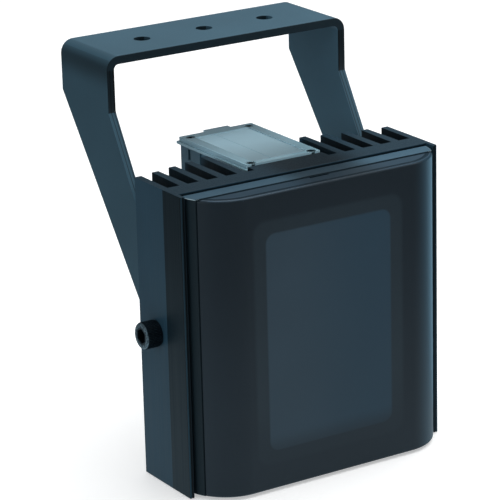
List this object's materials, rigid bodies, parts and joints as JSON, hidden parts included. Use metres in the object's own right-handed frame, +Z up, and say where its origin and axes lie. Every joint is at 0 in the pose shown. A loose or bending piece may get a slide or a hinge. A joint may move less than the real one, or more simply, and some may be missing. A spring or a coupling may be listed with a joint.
{
  "type": "infrared illuminator",
  "caption": "Infrared flood illuminator: a finned heat sink with a dark round-ended front cover and a clear-lidded terminal box, tilting on a U bracket.",
  "frame": {"origin": "centre of the middle hole of the bracket's bar, on the bar's top face, where the part is mounted", "axes": "+Z up out of the bracket's mounting face, the light shines along -Y at rest, X along the tilt axis"},
  "size_m": [0.195, 0.16, 0.2413],
  "materials": {
    "black_anodised": "satin black anodised",
    "bracket_paint": "satin dark powder coat",
    "bezel_black": "fine satin",
    "infrared_black": "satin gloss",
    "seal_black": "matte",
    "bolt_steel": "blackened, bright at the knurl",
    "plated_steel": "zinc plated",
    "clear_lid": "translucent",
    "box_grey": "satin",
    "board_green": "solder mask",
    "emitter_clear": "clear dome on white",
    "lens_clear": "clear",
    "connector_white": "moulded",
    "terminal_grey": "moulded",
    "component_black": "moulded",
    "gland_black": "moulded",
    "lead_red": "wire insulation"
  },
  "bodies": {
    "bracket": {"bracket": "bracket_paint", "pivot_bolt_left": "bolt_steel", "pivot_bolt_right": "bolt_steel", "pivot_washer_left": "plated_steel", "pivot_washer_right": "plated_steel"},
    "housing": {"heat_sink": "black_anodised", "cover_bezel": "bezel_black", "front_window": "infrared_black", "bezel_gasket": "seal_black", "window_gasket": "seal_black", "mask_frame": "bezel_black", "bezel_screws": "plated_steel", "optic_screws": "plated_steel", "led_board_left": "board_green", "led_board_right": "board_green", "led_emitters_left": "emitter_clear", "led_emitters_right": "emitter_clear", "lens_plate_left": "lens_clear", "lens_plate_right": "lens_clear", "board_connectors": "connector_white", "led_leads": "lead_red", "wire_bushing": "seal_black", "box_body": "box_grey", "box_lid": "clear_lid", "lid_gasket": "seal_black", "lid_screws": "plated_steel", "box_screws": "plated_steel", "driver_board": "board_green", "pcb_screws": "plated_steel", "driver_coil": "component_black", "driver_capacitor": "component_black", "driver_chip": "component_black", "terminal_block": "terminal_grey", "photocell": "component_black", "gland_body": "gland_black", "gland_seal": "seal_black", "gland_nut": "gland_black", "gland_locknut": "gland_black"}
  },
  "joints": [
    {"name": "tilt", "type": "hinge", "parent": "bracket", "child": "housing", "pos_m": [0, -0.0822, -0.1495], "axis": [1, 0, 0], "range_deg": [-25, 90]}
  ]
}
